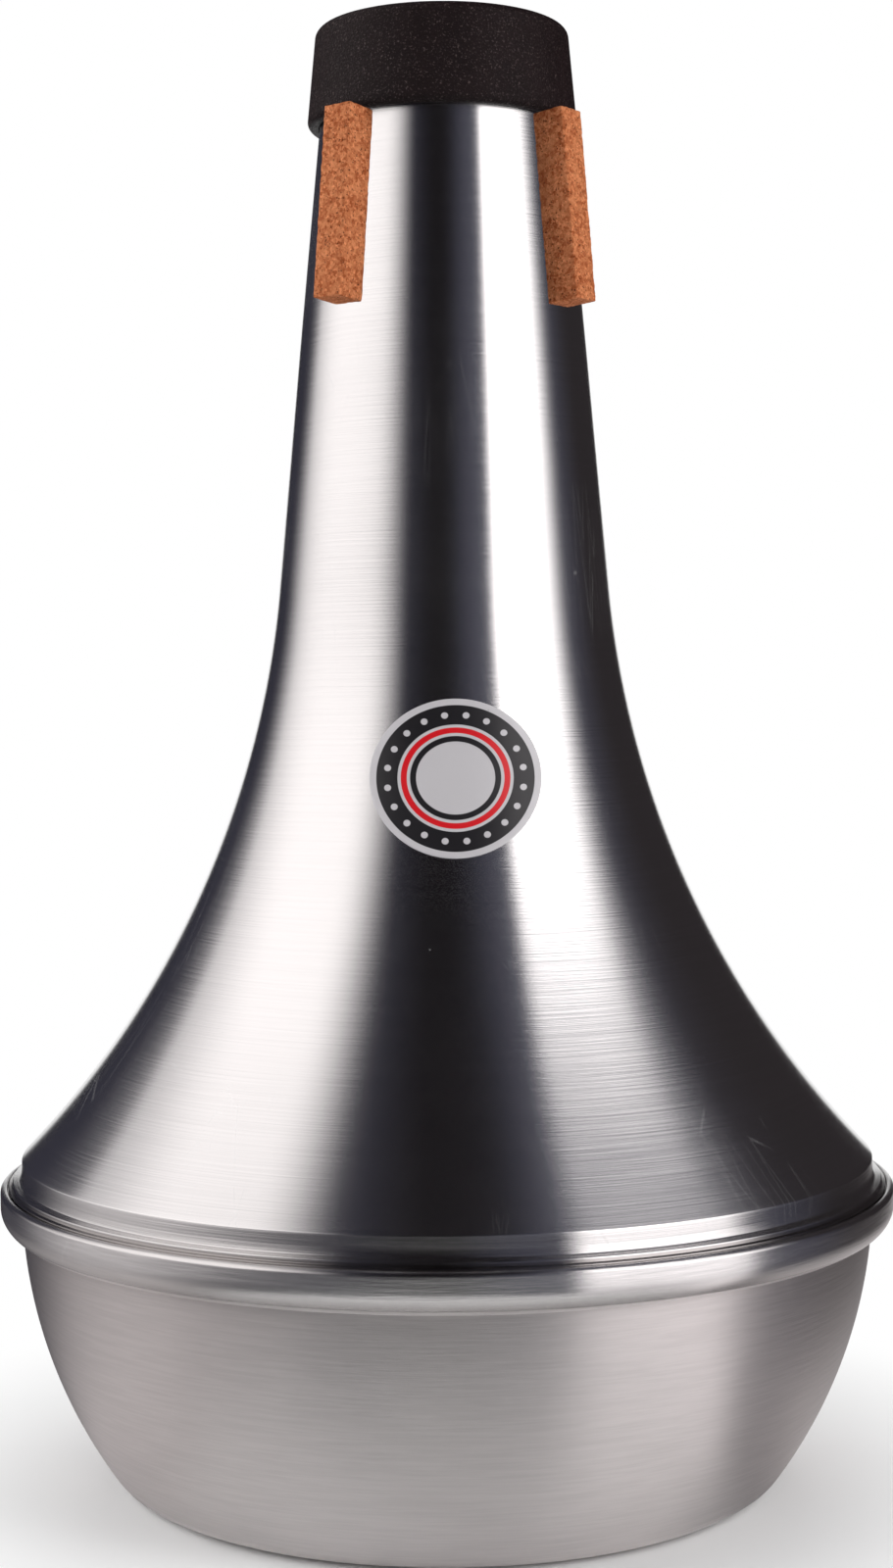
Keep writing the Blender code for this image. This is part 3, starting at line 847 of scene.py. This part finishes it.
def aluminium(name, tint, rings, arc_scale, roughness, spread, anisotropy, ring_depth, tone, polish, crease):
    """Spun aluminium: rings round the piece widen its reflections up and down but not sideways.

    polish gives two heights, between which the metal turns to another colour and roughness; on the cone
    this is the upright wall, whose darker colour is painted shade. crease gives two heights, from a line
    of painted shade to plain metal, and the colour of that painted shade.
    """
    made, tree, shader, place = blank_material(name)
    turned = node(tree, "UVMap", uv_map="turned")
    run = turned.split()[1]
    level = place.split()[2]
    ring_height, ring_tone = placed(
        "turning_marks", {"Position": place, "Run": run, "Rings": rings, "Arc": arc_scale}, ("Height", "Tone")
    )
    unrolled = turned.vector("MULTIPLY", (0.35, 1.0, 0.0))
    smear, scratch, speck = placed(
        "handling", {"Position": place, "Unrolled": unrolled}, ("Smear", "Scratch", "Speck")
    )
    low, high, band_tint, polished_roughness = polish
    # Painted shade: between the crease's two heights the metal goes from a darker colour that stands for
    # shade to its plain colour.
    shade_level, unshaded_level, shade_tint = crease
    polished = level.band(low, high)
    metal = polished.mix(tint, level.band(shade_level, unshaded_level).mix(shade_tint, band_tint))
    rough = smear.band(0.3, 0.7, roughness - spread, roughness + spread)
    rough = rough + (polished_roughness - rough) * polished
    feed(shader, {
        "Base Color": metal.vector("MULTIPLY", ring_tone.band(0.3, 0.7, 1.0 - tone, 1.0)),
        "Roughness": rough + (ring_tone - 0.5) * (5.0 * spread),
        "Metallic": 1.0 - scratch * 0.08 - speck * 0.20,
        "Anisotropic": anisotropy,
        "Anisotropic Rotation": 0.25,
        "Tangent": node(tree, "Tangent", direction_type="UV_MAP", uv_map="turned"),
        "Normal": bump(ring_height, 0.5, ring_depth),
    })
    return made


def cork_material():
    """Agglomerated cork: granules in tones from straw to bark, with dark pits between some.

    The granules are cells whose borders are bent by noise, with smaller crumbs among them.
    """
    made, tree, shader, place = blank_material("agglomerated_cork")
    grain = settings().cork.granule
    swirl = noise(place, 1400.0, 3.0, output="Color").vector("SUBTRACT", (0.5, 0.5, 0.5))
    bent = place.vector("ADD", swirl.vector("MULTIPLY", (0.9 * grain,) * 3))
    granule, granule_colour = cells(bent, 1.0 / grain, ("Distance", "Color"))
    crumb, crumb_colour = cells(bent, 2.2 / grain, ("Distance", "Color"))
    barky, pale, mid = crumb_colour.split()
    pebble, cloud = placed("stipple", {"Position": place, "Scale": 2400.0}, ("Height", "Cloud"))
    mottle = granule_colour.split()[0] * 0.34 + cloud * 0.30 + mid * 0.21 + pebble * 0.15
    body = mottle.band(0.18, 0.78).mix(paint("cork_mid"), paint("cork_light"))
    body = (pale.math("GREATER_THAN", 0.86) * 0.45).mix(body, paint("cork_light", 1.45))
    bark = barky.band(0.86, 0.92) * crumb.band(0.30, 0.55, 1.0, 0.0)
    body = (bark * 0.85).mix(body, paint("cork_dark"))
    seam = pebble.band(0.26, 0.40, 0.65, 0.0)
    feed(shader, {
        "Base Color": seam.mix(body, paint("cork_dark")),
        "Roughness": pebble.band(0.3, 0.7, 0.92, 0.72),
        "Specular IOR Level": 0.08,
        "Normal": bump(pebble * 0.5 - granule * 0.5 - bark * 0.8, 0.7, 0.25 * MM),
    })
    return made


def rubber_material():
    """Black moulded rubber with a pebbled face whose tops get a painted highlight."""
    made, tree, shader, place = blank_material("black_rubber")
    pebble, glint, cloud = placed(
        "stipple", {"Position": place, "Scale": 2000.0}, ("Height", "Glint", "Cloud")
    )
    base = cloud.band(0.3, 0.7).mix(paint("rubber"), paint("rubber", 1.35))
    feed(shader, {
        # Painted highlight: the pebbles' tops take the lighter colour.
        "Base Color": glint.mix(base, paint("rubber_glint")),
        "Roughness": pebble.band(0.35, 0.7, 0.62, 0.42),
        "Specular IOR Level": 0.17,
        "Normal": bump(pebble, 1.0, 0.28 * MM),
    })
    return made


def label_material():
    """The label's print: oval bands from the edge in, and a ring of dots in the dark band.

    The depth from the edge is taken along the line to the middle: the oval's mean radius times one
    less the share of the way out.
    """
    label = settings().label
    half_width, _, half_height = 0.5 * (LABEL_HIGH - LABEL_LOW)
    middle_radius = 0.5 * (half_width + half_height)
    made, tree, shader, place = blank_material("printed_vinyl")
    x, y, _ = node(tree, "UVMap", uv_map="print").split()
    x, y = x * (1.0 / half_width), y * (1.0 / half_height)
    depth = (1.0 - (x * x + y * y).math("SQRT")) * middle_radius
    soft = 0.06 * MM

    def beyond(limit):
        return depth.band(limit - soft, limit + soft)

    print_colour = paint("silver")
    start = label.border
    for width, ink in ((label.field, "black"), (label.stripe, "red"), (label.stripe, "black")):
        inside = beyond(start) * (1.0 - beyond(start + width))
        print_colour = inside.mix(print_colour, paint(ink))
        start += width + label.gap
    step = 2.0 * math.pi / label.dots
    angle = y.math("ARCTAN2", x) + (10.0 * step + math.pi)
    dot_depth = label.border + 0.5 * label.field
    along = (angle.math("MODULO", step) - 0.5 * step) * (middle_radius - dot_depth)
    off = depth - dot_depth
    far = (along * along + off * off).math("SQRT")
    print_colour = far.band(label.dot - soft, label.dot + soft, 1.0, 0.0).mix(print_colour, paint("silver"))
    smear, speck = placed("handling", {"Position": place}, ("Smear", "Speck"))
    pebble = placed("stipple", {"Position": place, "Scale": 900.0}, "Height")
    dust = (0.25, 0.24, 0.24, 1.0)
    feed(shader, {
        "Base Color": (speck * 0.5).mix(print_colour, dust),
        "Roughness": smear.band(0.3, 0.7, 0.26, 0.40),
        "Specular IOR Level": 0.5,
        "Normal": bump(pebble, 0.25, 0.02 * MM),
    })
    return made


def finish_piece(piece, node_names, material):
    """Gives a piece its material, its body and the nodes that it stands for."""
    piece.data.materials.clear()
    piece.data.materials.append(material)
    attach(piece, BODY)
    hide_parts(*node_names)


class MUTE_OT_finishes(Operator):
    """Make the node groups that the materials share"""

    bl_idname = "mute.finishes"
    bl_label = "Shared finishes"

    def execute(self, context):
        turning_marks_group()
        handling_group()
        stipple_group()
        return {"FINISHED"}


class MUTE_OT_cone(Operator):
    """Turn the cone with its neck, flare, shoulder and foot"""

    bl_idname = "mute.cone"
    bl_label = "Cone"

    def execute(self, context):
        cone = settings().cone
        piece = lathe("spun_cone", filled(cone_outline(), 3.0 * MM), SHELL_SEGMENTS)
        shoulder, bead = RIM_TOP + cone.shoulder_rise, RIM_TOP + cone.bead_rise
        metal = aluminium(
            "bright_spun_aluminium", paint("cone"), rings=1900.0, arc_scale=20.0, roughness=0.245,
            spread=0.012, anisotropy=0.975, ring_depth=0.13 * MM, tone=0.045,
            # The upright wall below the shoulder is smoother, and its darker colour is painted shade.
            polish=(shoulder + 0.2 * MM, shoulder - 0.8 * MM, paint("wall"), 0.215),
            # Painted shade: the metal below the bead is darkened in colour as the groove's shade.
            crease=(bead - 0.6 * MM, bead - 0.25 * MM, paint("groove_shade")),
        )
        finish_piece(piece, ["cone_shell"], metal)
        return {"FINISHED"}


class MUTE_OT_bowl(Operator):
    """Turn the bowl with its rolled rim"""

    bl_idname = "mute.bowl"
    bl_label = "Bowl"

    def execute(self, context):
        piece = lathe("spun_bowl", bowl_outline(), SHELL_SEGMENTS)
        rim_foot = RIM_TOP - 8.5 * MM
        metal = aluminium(
            "satin_spun_aluminium", paint("bowl"), rings=1300.0, arc_scale=60.0, roughness=0.48,
            spread=0.015, anisotropy=0.90, ring_depth=0.14 * MM, tone=0.10,
            polish=(rim_foot - 0.3 * MM, rim_foot, paint("rim"), 0.25),
            # Painted shade: the rim darkens in colour over 5.9 mm down to the crease under it.
            crease=(rim_foot, rim_foot + 5.9 * MM, paint("crease")),
        )
        finish_piece(piece, ["bowl_shell"], metal)
        return {"FINISHED"}


class MUTE_OT_collar(Operator):
    """Turn the rubber collar over the end of the neck"""

    bl_idname = "mute.collar"
    bl_label = "Collar"

    def execute(self, context):
        piece = lathe("rubber_collar", collar_outline(), COLLAR_SEGMENTS)
        finish_piece(piece, ["throat_collar"], rubber_material())
        return {"FINISHED"}


class MUTE_OT_corks(Operator):
    """Stand the cork strips on the neck"""

    bl_idname = "mute.corks"
    bl_label = "Cork strips"

    def execute(self, context):
        material = cork_material()
        for number, node_name in enumerate(CORK_NODES):
            low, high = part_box(node_name)
            middle = 0.5 * (low + high)
            azimuth = math.degrees(math.atan2(middle.x, -middle.y))
            piece = cork_block(f"cork_grip_{number + 1}", azimuth, 11 + 7 * number)
            finish_piece(piece, [node_name], material)
            piece.visible_glossy = False
        return {"FINISHED"}


class MUTE_OT_label(Operator):
    """Stick the oval label on the flare"""

    bl_idname = "mute.label"
    bl_label = "Label"

    def execute(self, context):
        piece = oval_label("oval_label")
        finish_piece(piece, ["label"], label_material())
        return {"FINISHED"}


def add_camera():
    """The camera at the photograph's place, upright but for a slight lean."""
    stage = settings().stage
    data = bpy.data.cameras.new("camera")
    data.sensor_fit = "VERTICAL"
    data.sensor_height = 36.0
    data.lens = stage.lens / MM
    data.clip_start = 0.01
    camera = add_object("camera", data)
    camera.location = (stage.camera_side, -stage.camera_distance, stage.camera_height)
    look = Matrix.Rotation(0.5 * math.pi - stage.camera_tilt, 3, "X")
    camera.rotation_euler = (look @ Matrix.Rotation(stage.camera_roll, 3, "Z")).to_euler()
    bpy.context.scene.camera = camera


def seen_white(tree):
    """1 for what the camera sees directly, in metal or through glass, and 0 for light on the object."""
    seen, mirrored, through = node(
        tree, "LightPath", (), ("Is Camera Ray", "Is Glossy Ray", "Is Transmission Ray")
    )
    return seen.math("MAXIMUM", mirrored).math("MAXIMUM", through)


def add_world():
    """A world that is white where it is seen, and gives a plain level of light."""
    level = settings().stage.world_light
    world = bpy.data.worlds.new("pale_room")
    bpy.context.scene.world = world
    world.use_nodes = True
    strength = seen_white(world.node_tree) * (1.0 - level) + level
    feed(world.node_tree.nodes["Background"], {"Color": WHITE, "Strength": strength})


def glowing(tree, shader, share, colour, strength):
    """Covers a shader with plain light over a share of the surface, and gives that to the material."""
    glow = node(tree, "Emission", {"Color": colour, "Strength": strength})
    mixed = node(tree, "MixShader", {0: share, 1: shader, 2: glow})
    feed(tree.nodes["Material Output"], {"Surface": mixed})


def add_floor():
    """A pale floor that keeps the mute's shadow, and fades into the white room away from it."""
    stage = settings().stage
    reach = stage.floor_reach
    mesh = bpy.data.meshes.new("floor")
    corners = ((-reach, -reach), (reach, -reach), (reach, reach), (-reach, reach))
    mesh.from_pydata([(x, y, -FLOOR_DROP) for x, y in corners], [], [(0, 1, 2, 3)])
    floor = add_object("floor", mesh)
    made, tree, shader, place = blank_material("pale_floor")
    white = stage.floor_white
    feed(shader, {"Base Color": (white, white, white, 1.0), "Roughness": 0.9, "Specular IOR Level": 0.0})
    distance = node(tree, "VectorMath", {0: place}, "Value", operation="LENGTH")
    away = distance.band(*SHADOW_FADE) * seen_white(tree)
    glowing(tree, Value(shader.outputs[0]), away, WHITE, 1.0)
    mesh.materials.append(made)


def add_lamp(name, azimuth, elevation, distance, size, power):
    """A large soft lamp aimed at the middle of the mute."""
    data = bpy.data.lights.new(name, "AREA")
    data.shape = "RECTANGLE"
    data.size, data.size_y = size
    data.energy = power
    lamp = add_object(name, data)
    a, e = math.radians(azimuth), math.radians(elevation)
    away = np.array([math.sin(a) * math.cos(e), -math.cos(a) * math.cos(e), math.sin(e)])
    turned = Matrix.Rotation(a, 4, "Z") @ Matrix.Rotation(0.5 * math.pi - e, 4, "X")
    lamp.matrix_world = Matrix.Translation(away * distance + np.array(LAMP_AIM)) @ turned
    lamp.visible_glossy = False
    lamp.visible_camera = False


def mirrored_patch(left, right, nearer):
    """The grid of points of a studio card, and what its UV maps hold.

    It is the patch of directions that the turned metal mirrors to the front: for a surface that
    faces an angle p round from the front and leans up by e, that is
    (2 cos e cos e cos p sin p, 1 - 2 cos e cos e cos p cos p, 2 cos e cos p sin e).
    A direction that goes down starts at the place on the rim or bowl that mirrors it, and stops at
    the floor. Gives the points, the distance from the left edge and e, and the distance from the
    right edge. Both distances count twice an edge's softness as 1.
    """
    lean = np.linspace(*CARD_LEANS, CARD_ROWS + 1)
    left_edge, left_soft = [np.interp(lean, *zip(*[(row[0], row[k]) for row in left])) for k in (1, 2)]
    right_edge, right_soft = [np.interp(lean, *zip(*[(row[0], row[k]) for row in right])) for k in (1, 2)]
    start = (left_edge - left_soft)[:, None]
    end = (right_edge + right_soft)[:, None]
    turned = start + (end - start) * np.linspace(0.0, 1.0, CARD_COLUMNS + 1)
    p = np.radians(turned)
    e = np.radians(np.broadcast_to(lean[:, None], p.shape))
    flat = 2.0 * np.cos(e) ** 2 * np.cos(p)
    towards = np.stack([flat * np.sin(p), 1.0 - flat * np.cos(p), np.cos(p) * np.sin(2.0 * e)], -1)
    radius, height = [np.interp(lean, BOWL_LEANS, values)[:, None] for values in (BOWL_RADII, BOWL_LEVELS)]
    on_bowl = np.stack([radius * np.sin(p), -radius * np.cos(p), height + 0.0 * p], -1)
    downward = np.clip(-10.0 * towards[..., 2:], 0.0, 1.0)
    source = downward * on_bowl + (1.0 - downward) * np.array(CARD_SOURCE)
    room = source[..., 2:] - 2.0 * MM - 10.0 * MM * nearer
    to_floor = room / np.maximum(-towards[..., 2:], 1e-4)
    reach = settings().stage.card_reach * (1.0 - nearer)
    points = towards * np.minimum(reach, to_floor) + source
    from_left = np.stack([(turned - start) / (2.0 * left_soft[:, None]), np.degrees(e)], -1)
    from_right = (end - turned) / (2.0 * right_soft[:, None])
    return points.reshape(-1, 3), from_left.reshape(-1, 2), from_right.reshape(-1)


def studio_card(name, left, right, brightness, tint, nearer, fade, low=(-90.0, -89.0, 1.0)):
    """A card of the studio, which only shiny surfaces see.

    left and right give the card's edges as rows of (e, p, softness) in degrees. fade gives the e at
    which the light starts to fall upwards and the e at which it is gone. low gives the e at which it
    has fallen downwards, the e at which it is whole, and the share that is left below. nearer is the
    share by which the card hangs nearer than the farthest one.
    """
    points, from_left, from_right = mirrored_patch(left, right, nearer)
    i, j = np.meshgrid(np.arange(CARD_ROWS), np.arange(CARD_COLUMNS), indexing="ij")
    i, j = i.ravel(), j.ravel()
    width = CARD_COLUMNS + 1
    faces = np.stack([i * width + j, i * width + j + 1, (i + 1) * width + j + 1, (i + 1) * width + j], -1)
    card = mesh_object(name, points, faces, from_left[faces], "card")
    layer = card.data.uv_layers.new(name="far")
    layer.uv.foreach_set("vector", np.repeat(from_right[faces].ravel(), 2).astype(np.float32))
    made, tree, shader, place = blank_material(name)
    across, lean, _ = node(tree, "UVMap", uv_map="card").split()
    back = node(tree, "UVMap", uv_map="far").split()[0]
    beside = node(tree, "VectorMath", {0: place, 1: CARD_HOLE}, "Value", operation="DISTANCE")
    mask = across.band(0.0, 1.0) * back.band(0.0, 1.0) * beside.band(*CARD_HOLE_FADE)
    mask = mask * (lean.band(*fade, 1.0, 0.0) * lean.band(*low, 1.0))
    glowing(tree, node(tree, "BsdfTransparent"), mask, (*tint, 1.0), brightness)
    tree.nodes.remove(shader)
    card.data.materials.append(made)
    for kind in ("camera", "diffuse", "transmission", "volume_scatter", "shadow"):
        setattr(card, "visible_" + kind, False)


class MUTE_OT_stage(Operator):
    """Set up the camera, the floor, the room and the lamps"""

    bl_idname = "mute.stage"
    bl_label = "Stage"

    def execute(self, context):
        power = settings().stage.lamp_power
        context.scene.view_settings.view_transform = "Standard"
        add_camera()
        add_world()
        add_floor()
        add_lamp("lamp_left", -84.0, 25.0, 1.6, (1.0, 1.6), power)
        add_lamp("lamp_right", 58.0, 25.0, 1.6, (1.0, 1.6), 0.88 * power)
        add_lamp("lamp_back", 180.0, 50.0, 1.8, (1.6, 1.2), 0.5 * power)
        for card in STUDIO_CARDS:
            studio_card(*card)
        return {"FINISHED"}


class MUTE_PT_panel(Panel):
    """The mute's pieces and its stage, in the 3D view's sidebar"""

    bl_idname = "MUTE_PT_panel"
    bl_label = "Straight mute"
    bl_space_type = "VIEW_3D"
    bl_region_type = "UI"
    bl_category = "Mute"

    def draw(self, context):
        for operator in OPERATORS:
            self.layout.operator(operator.bl_idname)
        for name in ("cone", "bowl", "collar", "cork", "label", "finish", "stage"):
            box = self.layout.box()
            box.label(text=name.title())
            part = getattr(context.scene.mute, name)
            for value in part.bl_rna.properties.keys():
                if value not in {"rna_type", "name"}:
                    box.prop(part, value)


OPERATORS = (
    MUTE_OT_finishes, MUTE_OT_cone, MUTE_OT_bowl, MUTE_OT_collar, MUTE_OT_corks, MUTE_OT_label, MUTE_OT_stage,
)
CLASSES = (
    MuteConeSizes, MuteBowlSizes, MuteCollarSizes, MuteCorkSizes, MuteLabelSizes, MuteFinishColours,
    MuteStageSettings, MuteSettings, *OPERATORS, MUTE_PT_panel,
)


def register():
    for item in CLASSES:
        bpy.utils.register_class(item)
    bpy.types.Scene.mute = PointerProperty(type=MuteSettings)


def unregister():
    del bpy.types.Scene.mute
    for item in reversed(CLASSES):
        bpy.utils.unregister_class(item)


def main():
    """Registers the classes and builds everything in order."""
    register()
    bpy.ops.mute.finishes()
    bpy.ops.mute.cone()
    bpy.ops.mute.bowl()
    bpy.ops.mute.collar()
    bpy.ops.mute.corks()
    bpy.ops.mute.label()
    bpy.ops.mute.stage()


if __name__ == "__main__":
    main()
